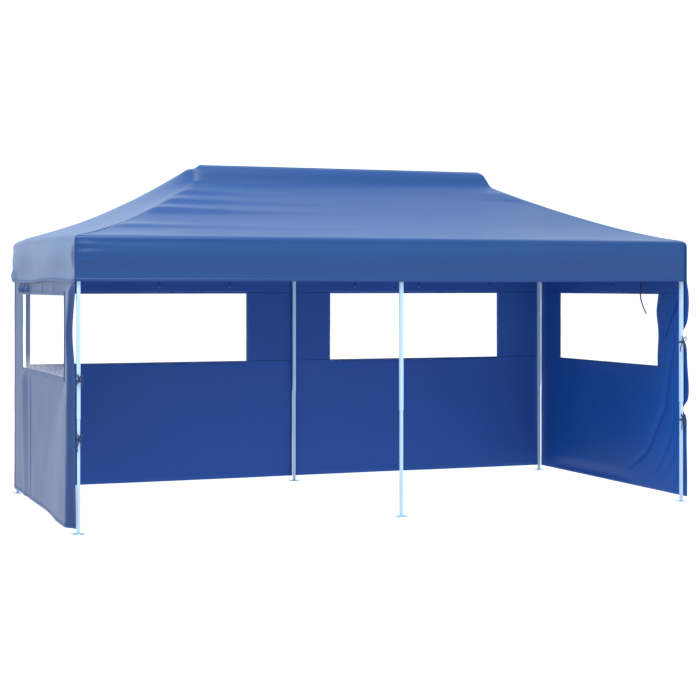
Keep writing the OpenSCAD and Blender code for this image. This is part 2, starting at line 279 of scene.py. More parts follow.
def cloth_finish(name, dark=CLOTH_BLUE, light=CLOTH_LIGHT, roughness=0.40, sheen=0.25, gloss=0.36):
    n = Nodes(name)
    where = n.place()
    cloud = n.grain(where, 1.7, 3.0)
    fleck = n.grain(where, 240.0, 1.0)
    share = (cloud * 0.8 + fleck * 0.2).clamp()
    threads = weave(n, where, 0.0016)
    creases = n.grain(where, 9.0, 4.0, 0.55, 0.4)
    rough = (roughness + (cloud - 0.5) * 0.10).clamp()
    fine = n.bump(threads, 0.10, 0.0004)
    soft = n.bump(creases, 0.16, 0.006, fine)
    return n.skin(Base_Color=n.tint(share, dark, light), Roughness=rough,
                  Specular_IOR_Level=gloss, Sheen_Weight=sheen, Sheen_Roughness=0.4,
                  Sheen_Tint=(0.62, 0.82, 1.0, 1), Normal=soft)


roof_cloth = cloth_finish("blue roof cloth")
wall_cloth = cloth_finish("blue wall cloth", (0.004, 0.034, 0.132), (0.007, 0.041, 0.158), 0.40, 0.06)
hem_cloth = cloth_finish("blue hem tape", (0.002, 0.036, 0.160), (0.004, 0.042, 0.182), 0.42, 0.06)
roof_lining = cloth_finish("blue roof lining", (0.006, 0.055, 0.240), (0.010, 0.062, 0.270), 0.75, 0.0, 0.15)
wall_lining = cloth_finish("blue wall lining", (0.004, 0.056, 0.262), (0.007, 0.064, 0.292), 0.45, 0.0, 0.16)
# The back walls' lining is the same cloth as the side walls' lining, painted lighter to stand in for the
# extra light they get from the open front and the floor.
back_lining_painted_light = cloth_finish("back wall lining", (0.008, 0.060, 0.275), (0.012, 0.068, 0.305), 0.6, 0.0, 0.3)
print("cloth finishes", [m.name for m in (roof_cloth, wall_cloth, hem_cloth, roof_lining, wall_lining)])

# %% Steel, nylon, film, thread and tape
def powder_coat():
    n = Nodes("pale powder coat")
    where = n.place()
    peel = n.grain(where, 900.0, 2.0)
    cloud = n.grain(where, 6.0, 3.0)
    scuff = n.add("ShaderNodeValToRGB", {"stops": [(0.62, (0, 0, 0, 1)), (0.74, (1, 1, 1, 1))]},
                  {0: n.grain(where, 38.0, 6.0, 0.7)})
    colour = n.tint(cloud * 0.7 + scuff * 0.3, (0.38, 0.55, 0.70), (0.46, 0.63, 0.79))
    return n.skin(Base_Color=colour, Roughness=(0.34 + scuff * 0.14).clamp(),
                  Specular_IOR_Level=0.5, Normal=n.bump(peel, 0.12, 0.0003))


def bracket_nylon():
    n = Nodes("grey nylon")
    where = n.place()
    grit = n.grain(where, 700.0, 3.0)
    cloud = n.grain(where, 18.0, 2.0)
    colour = n.tint(cloud, (0.30, 0.33, 0.38), (0.38, 0.41, 0.46))
    return n.skin(Base_Color=colour, Roughness=(0.48 + grit * 0.12).clamp(),
                  Normal=n.bump(grit, 0.15, 0.0004))


def window_film(name, dust):
    """Clear film; dust is how milky it is along its creased lower edge."""
    n = Nodes(name)
    where = n.place()
    ripple = n.grain(where, 3.5, 2.0, 0.5, 0.6)
    haze = n.grain(where, 14.0, 3.0)
    waves = n.bump(ripple, 0.25, 0.02)
    slant = n.add("ShaderNodeLayerWeight", {}, {"Blend": 0.5, "Normal": waves}, out="Facing")
    mirror = slant.power(5.0) * 0.22 + 0.02
    height = n.add("ShaderNodeSeparateXYZ", {}, {0: where}, out="Z")
    milky = (1.0 - (height - WINDOW_LOW) / 0.14).clamp() * haze * dust
    return n.skin(Base_Color=(0.97, 0.98, 1.0, 1), Metallic=1.0, Roughness=(0.08 + haze * 0.08).clamp(),
                  Alpha=(mirror + milky).clamp(), Normal=waves)


def thread_finish():
    n = Nodes("blue thread")
    twist = n.add("ShaderNodeTexWave", {"bands_direction": "DIAGONAL"},
                  {"Vector": n.place(), "Scale": 900.0}, out="Fac")
    return n.skin(Base_Color=n.tint(twist, (0.02, 0.07, 0.25), (0.06, 0.14, 0.40)),
                  Roughness=0.6, Normal=n.bump(twist, 0.3, 0.0003))


def tie_tape_finish():
    n = Nodes("navy tie tape")
    where = n.place()
    rib = n.add("ShaderNodeTexWave", {"bands_direction": "DIAGONAL"},
                {"Vector": where, "Scale": 420.0, "Distortion": 0.3}, out="Fac")
    return n.skin(Base_Color=n.tint(rib, (0.006, 0.018, 0.070), (0.016, 0.042, 0.130)),
                  Roughness=0.75, Sheen_Weight=0.15, Normal=n.bump(rib, 0.4, 0.0005))


steel = powder_coat()
nylon = bracket_nylon()
film = window_film("clear window film", 0.0)
left_film = window_film("creased window film", 0.5)
thread = thread_finish()
tape = tie_tape_finish()
tab_cloth = cloth_finish("hook tape tab", (0.010, 0.065, 0.26), (0.016, 0.080, 0.31), 0.6, 0.0, 0.4)

for node, thing in frame["nodes"].items():
    finish = nylon if node.startswith(("tee", "collar")) else steel
    for slot in thing.material_slots:
        slot.material = finish
print("finished", len(frame["nodes"]), "CAD nodes")

# %% [markdown]
# ## Helpers for cloth
# A sheet of cloth is a grid of points. Each piece has its own function from a place on
# the flat cloth to a place in the air, and this helper joins the points into faces. Two
# faces that would lie in a window are left out. Solidify then gives it its thickness.

# %% Cloth helpers
def smooth(x, low, high):
    """0 below low, 1 above high, and a soft ramp between."""
    t = np.clip((x - low) / (high - low), 0, 1)
    return t * t * (3 - 2 * t)


def hump(x, centre, width):
    return np.exp(-((x - centre) / width) ** 2)


def wander(points, scale, seed):
    """Slow, even noise between -1 and 1 at each point; the same on every run."""
    shift = Vector((seed * 7.3, seed * 3.1, seed * 5.7))
    flat = points.reshape(-1, 3)
    found = [noise.noise(Vector(p) / scale + shift) for p in flat]
    return np.array(found).reshape(points.shape[:-1])


def add_piece(name, points, faces, finish, smooth_faces=True):
    mesh = bpy.data.meshes.new(name)
    mesh.from_pydata([tuple(p) for p in points], [], faces)
    mesh.polygons.foreach_set("use_smooth", [smooth_faces] * len(mesh.polygons))
    mesh.materials.append(finish)
    piece = bpy.data.objects.new(name, mesh)
    bpy.context.scene.collection.objects.link(piece)
    return piece


def grid_faces(rows, columns, keep=None, start=0, flip=False):
    """The faces of a grid of points; keep(row, column) may leave some out."""
    faces = []
    for r in range(rows - 1):
        for c in range(columns - 1):
            if keep is not None and not keep(r, c):
                continue
            a = start + r * columns + c
            face = (a, a + 1, a + 1 + columns, a + columns)
            faces.append(face[::-1] if flip else face)
    return faces


def thicken(piece, thickness, offset=-1.0, lining=None):
    """Gives a sheet its thickness, inward by default; the lining is its inner face."""
    solid = piece.modifiers.new("thickness", "SOLIDIFY")
    if lining is not None:
        piece.data.materials.append(lining)
        solid.material_offset = 1
    solid.thickness = thickness
    solid.offset = offset
    solid.use_even_offset = False
    return piece


def merge(piece, distance=0.0004):
    """Joins points that meet, as where two panels are sewn together."""
    import bmesh
    shape = bmesh.new()
    shape.from_mesh(piece.data)
    bmesh.ops.remove_doubles(shape, verts=shape.verts, dist=distance)
    shape.to_mesh(piece.data)
    shape.free()
    return piece


# %% [markdown]
# ## Roof
# The roof is one sewn cover: two long slopes, two hips and a valance that hangs down all
# round. It is held only at its edge and at the two masts, so between them it sags: the
# slopes are flat near the edge and steep near the ridge. Each side is a grid that runs
# from the hem up the valance, round the edge and up the slope. Neighbouring sides share
# their corner points, so they join into one sheet. Shallow folds run in from the hips,
# where the cut of the cloth is a little too long, and the valance has a slow wave.

# %% The roof's section
BEND = 0.035


# Each hip sags between the eave and the ridge, then is drawn up in a short steep neck by the
# mast under it. For each corner: how steeply it leaves the eave, the share of the rise that
# it would reach without the neck, and how late it climbs.
HIPS = {
    ("left", "front"): (0.10, 0.83, 1.53),
    ("right", "front"): (0.20, 0.86, 1.47),
    ("left", "back"): (0.60, 1.05, 2.32),
    ("right", "back"): (0.35, 0.93, 1.90),
}
NECK_FROM, NECK_TO = 0.93, 0.98
SIDE_ENDS = {
    "front": (("left", "front"), ("right", "front")),
    "right": (("right", "front"), ("right", "back")),
    "back": (("right", "back"), ("left", "back")),
    "left": (("left", "back"), ("left", "front")),
}


def hip_height(t, corner):
    """The share of the rise at share t up one hip: a sagging line, then the neck."""
    toe, full, power = HIPS[corner]
    return toe * t + (full - toe) * t ** power + (1 - full) * smooth(t, NECK_FROM, NECK_TO)


def slope_height(t, side="front", across=0.0):
    """The share of the rise at share t up a slope; across runs from -1 at one hip to 1."""
    first, second = (hip_height(t, corner) for corner in SIDE_ENDS[side])
    share = smooth(np.asarray(across), -1.0, 1.0)
    return first * (1 - share) + second * share


def roof_section(valance_rows=22, bend_rows=5, slope_rows=70):
    """Rows of (inset from the outer face, height, share up the slope, share up the valance)."""
    rows = []
    for v in np.linspace(0, 1, valance_rows, endpoint=False):
        rows.append((0.0, HEM_Z + (EAVE_Z - BEND - HEM_Z) * v, 0.0, v))
    for angle in np.linspace(0, math.radians(78), bend_rows):
        rows.append((BEND * (1 - math.cos(angle)), EAVE_Z - BEND + BEND * math.sin(angle), 0.0, 1.0))
    first = rows[-1][0] / ROOF_Y
    for t in np.linspace(first, 1, slope_rows + 1)[1:]:
        rows.append((t * ROOF_Y, EAVE_Z + RISE * float(slope_height(t)), t, 1.0))
    return np.array(rows)


# Folds on the front slope: where each starts up the left hip, how far it runs, its depth
LEFT_HIP_FOLDS = [(0.255, 1.50, 0.018), (0.53, 1.00, 0.036), (0.665, 0.95, 0.030),
                  (0.785, 0.62, 0.030), (0.875, 0.22, 0.022)]
RIGHT_HIP_FOLDS = [(0.74, 0.50, 0.013), (0.80, 0.50, 0.015), (0.88, 0.25, 0.008)]
# Puckers beside the front left corner of the valance: height share, reach, depth
CORNER_PUCKERS = [(0.88, 0.20, 0.012), (0.68, 0.24, 0.013), (0.50, 0.16, 0.010), (0.33, 0.10, 0.006)]


def hip_folds(t, from_hip, folds, lean):
    lift = 0.0
    for at, reach, depth in folds:
        start = 1 - np.exp(-np.maximum(from_hip, 0) / 0.045)
        fade = np.exp(-(np.maximum(from_hip, 0) / reach) ** 1.6)
        up = t - (at + 0.030 - lean * from_hip)
        lift = lift + depth * start * fade * np.exp(-(up / np.where(up < 0, 0.036, 0.060)) ** 2)
    return lift


def valance_shape(v, along, phase):
    """How far a valance stands out at share v of its height: full below the edge, and flared at its hem."""
    slow = 0.85 + 0.15 * np.sin(along * 1.9 + phase)
    full = 0.022 * np.sin(math.pi * np.clip((1 - v) / 0.80, 0, 1)) ** 1.2 * slow
    flare = 0.013 * smooth(np.asarray(0.36 - v), 0.0, 0.36) * (0.8 + 0.2 * np.sin(along * 2.3 + 2 * phase))
    return full + flare


def roof_out(side, along, half, row, places):
    """How far the cloth stands out from its plain shape, square to the cloth."""
    inset, height, t, v = row
    edge = half - inset
    left, right = edge + along, edge - along
    held = smooth(np.minimum(left, right), 0.0, 0.10)
    if t > 0:
        out = 0.004 * wander(places, 0.55, 2) * smooth(np.array(1 - t), 0.0, 0.1)
        if side == "front":
            out = out + hip_folds(t, left, LEFT_HIP_FOLDS, 0.012)
            out = out + hip_folds(t, right, RIGHT_HIP_FOLDS, -0.04)
        elif side == "back":
            out = out + 0.8 * hip_folds(t, right, LEFT_HIP_FOLDS, 0.015)
            out = out + hip_folds(t, left, RIGHT_HIP_FOLDS, -0.03)
        return out * smooth(np.minimum(left, right), 0.0, 0.012)
    phase = {"front": 0.3, "right": 1.9, "back": 3.1, "left": 4.4}[side]
    out = valance_shape(v, along, phase) + 0.0016 * wander(places, 0.45, 5)
    out = out * held * smooth(np.array(1.0 - v), 0.0, 0.15)
    if side == "front":
        for at, reach, depth in CORNER_PUCKERS:
            out = out + depth * smooth(left, 0, 0.03) * hump(v, at, 0.055) * np.exp(-(left / reach) ** 2)
    if side == "left":
        out = out + 0.030 * hump(v, 0.18, 0.16) * np.exp(-((left - 0.05) / 0.16) ** 2)
        out = out + 0.008 * hump(v, 0.5, 0.3) * np.sin(along * 4.0) * held
    return out


def hem_drop(side, along):
    """How much lower or higher the hem hangs, from one corner to the other."""
    if side == "left":
        return 0.010 * np.sin(along * 2.6 + 0.4) - 0.006
    if side == "front":
        return -0.004 * np.cos(along * 0.55) - 0.002 * np.sin(along * 1.7)
    return -0.005 * np.sin(along * 1.4)


def eave_crown(across, v, t):
    """The end's edge is rounded up over the frame, more towards the back."""
    bell = np.clip(1 - across ** 2, 0, 1) ** 1.3 * (0.62 + 0.75 * np.exp(-((across + 0.80) / 0.32) ** 2))
    return bell * smooth(v, 0.45, 1.0) * (1 - smooth(t, 0.05, 0.40))


def turn_side(side, along, inset, height):
    """From a place along one side to a place in the air."""
    flat = {
        "front": (along, -ROOF_Y + inset),
        "right": (ROOF_X - inset, along),
        "back": (-along, ROOF_Y - inset),
        "left": (-ROOF_X + inset, -along),
    }[side]
    return np.stack([flat[0] + 0 * along, flat[1] + 0 * along, height + 0 * along], axis=-1)


SIDE_HALF = {"front": ROOF_X, "right": ROOF_Y, "back": ROOF_X, "left": ROOF_Y}
SIDE_COLUMNS = {"front": 170, "right": 84, "back": 120, "left": 84}
OUTWARD = {"front": (0, -1), "right": (1, 0), "back": (0, 1), "left": (-1, 0)}


def spread_columns(count):
    """Columns from -1 to 1, closer together near both hips, where the folds start."""
    u = np.linspace(-1, 1, count)
    return 0.55 * u + 0.45 * np.sin(u * math.pi / 2)


def roof_side(side, rows, lift=0.0):
    """The points of one side of the roof, row by row."""
    columns = spread_columns(SIDE_COLUMNS[side])
    half = SIDE_HALF[side]
    grid = []
    for i, row in enumerate(rows):
        inset, height, t, v = row
        along = columns * (half - inset)
        if t > 0:
            height = EAVE_Z + RISE * slope_height(t, side, columns)
        plain = turn_side(side, along, inset, height)
        before, after = rows[max(i - 1, 0)], rows[min(i + 1, len(rows) - 1)]
        run, rise = after[0] - before[0], after[1] - before[1]
        size = math.hypot(run, rise)
        out = roof_out(side, along, half, row, plain) + lift
        ox, oy = OUTWARD[side]
        plain[:, 0] += out * ox * rise / size
        plain[:, 1] += out * oy * rise / size
        plain[:, 2] += out * run / size
        plain[:, 2] += hem_drop(side, along) * (1 - v) * (t == 0)
        if side == "left":
            plain[:, 2] += 0.030 * eave_crown(along / half, v, t)
        grid.append(plain)
    return np.array(grid)


# %% The roof cover
def roof_cover(rows, name, finish, lift=0.0):
    points, faces = [], []
    for side in SIDE_HALF:
        grid = roof_side(side, rows, lift)
        count = SIDE_COLUMNS[side]
        faces += grid_faces(len(rows), count, start=len(points))
        points += list(grid.reshape(-1, 3))
    return merge(add_piece(name, points, faces, finish))


section = roof_section()
roof = roof_cover(section, "roof_cover", roof_cloth)
print("roof cover", len(roof.data.vertices), "points,", len(roof.data.polygons), "faces")

# %% [markdown]
# ## Roof that folds with the frame
# The cover stays on while the frame folds, so it has to follow it. Across the gazebo,
# each point follows the back row of legs by its share of the way to the back, with a Hook
# to the back middle leg, which slides straight forward as the frame folds.

# %% Follow the fold
ROOT = "upper_leg_front_middle"
BACK = "upper_leg_back_middle"


def fold_with_frame(piece):
    """Drawn to the front by the back legs, by a Hook weighted by each point's share of the way to the back.
    """
    group = piece.vertex_groups.new(name="way_to_the_back")
    for vertex in piece.data.vertices:
        share = (vertex.co.y + ROOF_Y) / (2 * ROOF_Y)
        group.add([vertex.index], min(max(share, 0.0), 1.0), "REPLACE")
    hook = piece.modifiers.new("follow the back legs", "HOOK")
    hook.object = frame["bodies"][BACK]
    hook.vertex_group = group.name
    hook.strength = 1.0
    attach(piece, ROOT)
    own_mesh(piece)
    return piece


# %% [markdown]
# ## Hem and piping of the roof
# The valance ends in a folded hem, a second layer a thumb wide. The corners of the valance
# and the ridge are closed by a piped seam, a thin cord in a folded strip.

# %% Hem and piping
def tube_along(points, radius, sides=6):
    """Points and faces of a round tube that follows a row of points, closed at its ends."""
    points = [Vector(p) for p in points]
    rings, faces = [], []
    for i, p in enumerate(points):
        ahead = (points[min(i + 1, len(points) - 1)] - points[max(i - 1, 0)]).normalized()
        side = ahead.cross(Vector((0.31, 0.17, 0.93))).normalized()
        over = side.cross(ahead).normalized()
        for k in range(sides):
            angle = 2 * math.pi * k / sides
            rings.append(p + (side * math.cos(angle) + over * math.sin(angle)) * radius)
    for i in range(len(points) - 1):
        for k in range(sides):
            a, b = i * sides + k, i * sides + (k + 1) % sides
            faces.append((a, a + sides, b + sides, b))
    faces.append(tuple(range(sides)))
    last = (len(points) - 1) * sides
    faces.append(tuple(last + k for k in reversed(range(sides))))
    return rings, faces


def gather(shapes):
    """Joins several (points, faces) into one."""
    points, faces = [], []
    for some_points, some_faces in shapes:
        faces += [tuple(i + len(points) for i in face) for face in some_faces]
        points += [tuple(p) for p in some_points]
    return points, faces


HEM = 0.028
hem_rows = np.array([(0.0, HEM_Z + HEM * k / 3, 0.0, HEM * k / 3 / (EAVE_Z - BEND - HEM_Z))
                     for k in range(4)])
roof_hem = roof_cover(hem_rows, "roof_hem", hem_cloth, lift=0.0016)

EAVE_ROW = 24
piping_shapes = []
for side in SIDE_HALF:
    corner = roof_side(side, section)[:, -1]
    piping_shapes.append(tube_along(corner[1:EAVE_ROW], 0.0018))
ridge = [(x, 0, RIDGE_Z + 0.001) for x in np.linspace(-(ROOF_X - ROOF_Y), ROOF_X - ROOF_Y, 24)]
piping_shapes.append(tube_along(ridge, 0.0022))
points, faces = gather(piping_shapes)
roof_piping = add_piece("roof_piping", points, faces, roof_cloth)
print("piping", len(roof_piping.data.polygons), "faces")

# %% [markdown]
# ## Walls
# Each wall hangs from the top rail outside the legs, and is tied to the corner legs. It is
# a skirt, two stiles beside the window and a band above it, sewn into one sheet. The shape
# is a function of the place along the wall and the height: how far the cloth stands out,
# and how far it is drawn along. The front edges are only tied at two heights, so they
# bow between the ties, and folds run from the ties down to the hem.

# %% Shapes of the walls
# Heights of the ties on the front corner legs
LEFT_TIES = (1.27, 0.78)
RIGHT_TIES = (1.52, 0.78)


def ridge_line(y, z, points, width, depth):
    """A fold along a path of (y, z) points from top to bottom, fading at both ends."""
    heights = [p[1] for p in points][::-1]
    places = [p[0] for p in points][::-1]
    centre = np.interp(z, heights, places)
    span = heights[-1] - heights[0]
    inside = smooth(z, heights[0] - 0.05, heights[0] + 0.25 * span)
    inside = inside * (1 - smooth(z, heights[-1] - 0.25 * span, heights[-1] + 0.05))
    return depth * inside * hump(y, centre, width)


def left_wall_shape(y, z):
    """(out, along) for the left wall: a front strip drawn in to the leg, and pleats."""
    front = -y
    stand = np.interp(z, (0.05, 0.35, 0.8, 1.25, 1.6, 2.05), (0.066, 0.060, 0.056, 0.052, 0.042, 0.036))
    crest = np.interp(z, (0.05, 1.3, 2.0), (1.33, 1.37, 1.38))
    root = np.interp(z, (0.05, 0.9, 1.25), (-0.30, 0.55, 1.02))
    loose = -0.05 * (1 - smooth(z, 0.2, 0.6))
    strip = smooth((front - root) / (crest - root), 0, 1)
    strip = strip * (1 - (1 - loose) * smooth((front - crest) / (1.46 - crest), 0.05, 1))
    out = stand * strip
    low = 1 - smooth(z, 1.15, 1.27)
    sewn = 1 - 0.45 * (1 - smooth(z, 0.25, 1.1))
    out = out + 0.030 * low * sewn * np.exp(-((y - 0.90) / np.where(y > 0.90, 0.07, 0.14)) ** 2)
    out = out + 0.008 * low * hump(y, 0.585, 0.025)
    band = smooth(z, 1.965, 2.02)
    for at, lean, depth in ((1.20, 0.4, 0.018), (1.02, 0.8, 0.050), (0.86, 0.7, 0.055), (0.70, 0.3, 0.038)):
        past = y - lean * (z - 2.05) - at
        out = out + depth * band * np.exp(-(past / np.where(past > 0, 0.075, 0.035)) ** 2)
    out = out + 0.012 * band * hump(y, 0.02, 0.05) + 0.010 * band * hump(y, -0.5, 0.06)
    out = out + 0.008 * hump(z, 0.08, 0.22) * np.sin(y * 4.2 + 0.5) * (1 - smooth(front, 0.8, 1.1))
    bow = 0.115 * hump(z, 1.68, 0.24) + 0.01 * hump(z, 1.02, 0.15) - 0.01 * (1 - smooth(z, 0.17, 0.62))
    along = bow * smooth(front, 1.15, 1.45)
    return out * (1 - smooth(z, 2.09, 2.20)) - 0.008 * smooth(z, 2.07, 2.14), along


def right_wall_shape(y, z):
    """(out, along) for the right wall: an edge that bellies past the leg, and long folds."""
    belly = 0.022 * hump(z, 1.90, 0.20) + 0.022 * hump(z, 1.08, 0.20) + 0.004 * smooth(0.6 - z, 0, 0.4)
    edge = smooth(-y, 1.16, 1.45)
    out = belly * edge
    tie = hump(z, RIGHT_TIES[0] + 0.07, 0.08) + hump(z, RIGHT_TIES[1] + 0.10, 0.06)
    along = 0.055 * tie * edge - 0.03 * (1 - tie) * edge
    for points, width, depth in RIGHT_FOLDS:
        out = out + ridge_line(y, z, points, width, depth)
    swell = smooth(z, 0.05, 0.10) * (1 - smooth(z, 0.10, 0.22))
    out = out + 0.010 * swell * smooth(-y, -1.3, -0.9) * (1 - smooth(-y, 0.1, 0.7))
    wave = 0.035 * hump(z, 1.80, 0.13) + 0.020 * (1 - smooth(z, 1.35, 1.60))
    along = along + wave * hump(y, -1.0, 0.22)
    return out, along


# Folds of the right wall as (y, z) from top to bottom, with a width and a depth
RIGHT_FOLDS = [
    ([(-1.36, 2.05), (-1.24, 1.80), (-1.07, 1.48)], 0.026, 0.030),
    ([(-1.41, 2.02), (-1.34, 1.72), (-1.22, 1.38)], 0.024, 0.024),
    ([(-1.31, 1.74), (-1.19, 1.30), (-1.10, 0.86), (-0.79, 0.42), (-0.34, 0.15)], 0.036, 0.030),
    ([(-1.36, 1.45), (-1.30, 1.04), (-1.22, 0.60), (-1.00, 0.26), (-0.70, 0.14)], 0.026, 0.013),
    ([(-1.40, 1.30), (-1.36, 0.90), (-1.27, 0.45), (-1.08, 0.15)], 0.024, 0.012),
    ([(-1.41, 0.62), (-1.37, 0.35), (-1.28, 0.11)], 0.020, 0.014),
]


def back_wall_shape(x, z):
    """(out, along) for a back wall: nearly flat, with the slack of a hung cloth."""
    out = 0.006 * np.sin(x * 2.1 + 0.6) * smooth(z, 2.4, 0.9) + 0.004 * np.sin(x * 5.3 + 2.0)
    out = out + 0.010 * hump(z, 0.1, 0.3) * np.sin(x * 1.6 + 0.3)
    return out, 0 * x


# %% Wall builder
def steps(places, gap):
    """Even steps of about gap between the given places, which are all kept."""
    found = [places[0]]
    for a, b in zip(places, places[1:]):
        count = max(1, round((b - a) / gap))
        found += [a + (b - a) * k / count for k in range(1, count + 1)]
    return np.array(found)


class Wall:
    """A hung wall: where it is, which way is out, its window and its shape."""

    def __init__(self, name, axis, plane, out, start, end, window, shape):
        self.name, self.axis, self.plane, self.out = name, axis, plane, out
        self.start, self.end, self.window, self.shape = start, end, window, shape

    def at(self, s, z, lift=0.0):
        """The point of the cloth at s along it and height z, lifted outward by lift."""
        s, z = np.broadcast_arrays(np.asarray(s, float), np.asarray(z, float))
        away, along = self.shape(s, z)
        away = away * (1 - smooth(z, HEM_Z - 0.10, HEM_Z + 0.03))
        lazy = 0.003 * wander(np.stack([s, z, 0 * s], axis=-1), 0.30, 4)
        depth = self.plane + self.out * (np.maximum(away, -0.007) + lazy + 0.004 + lift)
        flat = (depth, s + along) if self.axis == "y" else (s + along, depth)
        return np.stack([flat[0], flat[1], z], axis=-1)

    def patch(self, s, z, lift=0.0):
        """A grid of points over the given places along and up the wall."""
        return self.at(s[None, :], z[:, None], lift)

    def flipped(self):
        return (self.axis == "y") == (self.out < 0)


def wall_sheet(wall):
    gap = 0.020 if wall.axis == "y" else 0.035
    near, far = wall.window
    s = steps([wall.start, near, far, wall.end], gap)
    z = steps([WALL_LOW, WINDOW_LOW, WINDOW_HIGH, WALL_HIGH], gap)

    def keep(r, c):
        in_s = near - 1e-6 < s[c] < far - 1e-6
        in_z = WINDOW_LOW - 1e-6 < z[r] < WINDOW_HIGH - 1e-6
        return not (in_s and in_z)

    grid = wall.patch(s, z)
    faces = grid_faces(len(z), len(s), keep, flip=wall.flipped())
    sheet = merge(add_piece(wall.name, grid.reshape(-1, 3), faces, wall_cloth))
    # The back walls take the lining that is painted lighter for their extra light.
    return thicken(sheet, 0.0012, lining=back_lining_painted_light if wall.axis == "x" else wall_lining)


pane_left_low, pane_left_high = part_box("pane_left")
pane_back_low, pane_back_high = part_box("pane_back")
back_left_low, back_left_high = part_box("wall_back_left")
back_right_low, back_right_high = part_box("wall_back_right")
side_window = (pane_left_low.y + FILM_LAP, pane_left_high.y - FILM_LAP)
BACK_LEFT_WINDOW = (pane_back_low.x + FILM_LAP, -0.518)
BACK_RIGHT_WINDOW = (0.417, pane_back_high.x - FILM_LAP)

walls = {
    "wall_left": Wall("left_wall", "y", -WALL_X, -1, -LEG_Y - 0.02, LEG_Y, side_window, left_wall_shape),
    "wall_right": Wall("right_wall", "y", WALL_X, 1, -LEG_Y - 0.02, LEG_Y, side_window, right_wall_shape),
    "wall_back_left": Wall("back_left_wall", "x", WALL_Y, 1, back_left_low.x, back_left_high.x,
                           BACK_LEFT_WINDOW, back_wall_shape),
    "wall_back_right": Wall("back_right_wall", "x", WALL_Y, 1, back_right_low.x, back_right_high.x,
                            BACK_RIGHT_WINDOW, back_wall_shape),
}
sheets = {node: wall_sheet(wall) for node, wall in walls.items()}
print("walls", {node: len(sheet.data.polygons) for node, sheet in sheets.items()})

# %% [markdown]
# ## Windows
# Each window is clear film, sewn in behind the opening and held by a border tape. The film
# follows the wall's own shape, and it has a slow ripple of its own.

# %% Film and borders
def film_patch(wall):
    near, far = wall.window
    s = steps([near - FILM_LAP, far + FILM_LAP], 0.05)
    z = steps([WINDOW_LOW - FILM_LAP, WINDOW_HIGH + FILM_LAP], 0.05)
    grid = wall.patch(s, z, lift=-0.0026)
    return grid.reshape(-1, 3), grid_faces(len(z), len(s), flip=wall.flipped())


def border_strips(wall, width=0.030, lift=0.0012):
    """Four strips of tape round the window's opening, on the wall's outer face."""
    near, far = wall.window
    shapes = []
    for s_span, z_span in (
            ((near - width, far + width), (WINDOW_LOW - width, WINDOW_LOW + 0.002)),
            ((near - width, far + width), (WINDOW_HIGH - 0.002, WINDOW_HIGH + width)),
            ((near - width, near + 0.002), (WINDOW_LOW, WINDOW_HIGH)),
            ((far - 0.002, far + width), (WINDOW_LOW, WINDOW_HIGH))):
        s, z = steps(s_span, 0.035), steps(z_span, 0.035)
        if len(s) < 3:
            s = np.linspace(*s_span, 3)
        if len(z) < 3:
            z = np.linspace(*z_span, 3)
        grid = wall.patch(s, z, lift)
        shapes.append((grid.reshape(-1, 3), grid_faces(len(z), len(s), flip=wall.flipped())))
    return shapes


WINDOWS = {"pane_left": ["wall_left"], "pane_right": ["wall_right"],
           "pane_back": ["wall_back_left", "wall_back_right"]}
films, borders = {}, {}
for pane, owners in WINDOWS.items():
    side = pane.removeprefix("pane_")
    points, faces = gather([film_patch(walls[o]) for o in owners])
    films[pane] = add_piece(f"{side}_window_film", points, faces, left_film if side == "left" else film)
    points, faces = gather([shape for o in owners for shape in border_strips(walls[o])])
    borders[pane] = thicken(add_piece(f"{side}_window_border", points, faces, wall_cloth), 0.0010, 1.0)
print("windows", sorted(films))

# %% [markdown]
# ## Hems of the walls
# Along the bottom and both upright edges each wall has a folded hem, made as a second,
# slightly raised layer that follows the same shape.

# %% Wall hems
def hem_strips(wall, width=0.025, lift=0.0012):
    shapes = []
    for s_span, z_span in (
            ((wall.start, wall.end), (WALL_LOW, WALL_LOW + width)),
            ((wall.start, wall.start + width), (WALL_LOW + width, WALL_HIGH)),
            ((wall.end - width, wall.end), (WALL_LOW + width, WALL_HIGH))):
        s = np.linspace(*s_span, 3) if s_span[1] - s_span[0] < 0.1 else steps(s_span, 0.035)
        z = np.linspace(*z_span, 3) if z_span[1] - z_span[0] < 0.1 else steps(z_span, 0.035)
        grid = wall.patch(s, z, lift)
        shapes.append((grid.reshape(-1, 3), grid_faces(len(z), len(s), flip=wall.flipped())))
    return shapes


def strip(wall, s_span, z_span, lift):
    """One narrow strip that follows the wall, three points across its narrow way."""
    s = np.linspace(*s_span, 3) if s_span[1] - s_span[0] < 0.1 else steps(s_span, 0.035)
    z = np.linspace(*z_span, 3) if z_span[1] - z_span[0] < 0.1 else steps(z_span, 0.035)
    grid = wall.patch(s, z, lift)
    return grid.reshape(-1, 3), grid_faces(len(z), len(s), flip=wall.flipped())


hems = {}
for node, wall in walls.items():
    points, faces = gather(hem_strips(wall))
    hems[node] = thicken(add_piece(f"{wall.name}_hem", points, faces, hem_cloth), 0.0010, 1.0)
print("hems", len(hems))

# %% [markdown]
# Inside, a seam runs the whole length of each wall above and below its windows, where the
# panels are sewn together. Small tabs of hook tape hold the top of the wall to the truss.

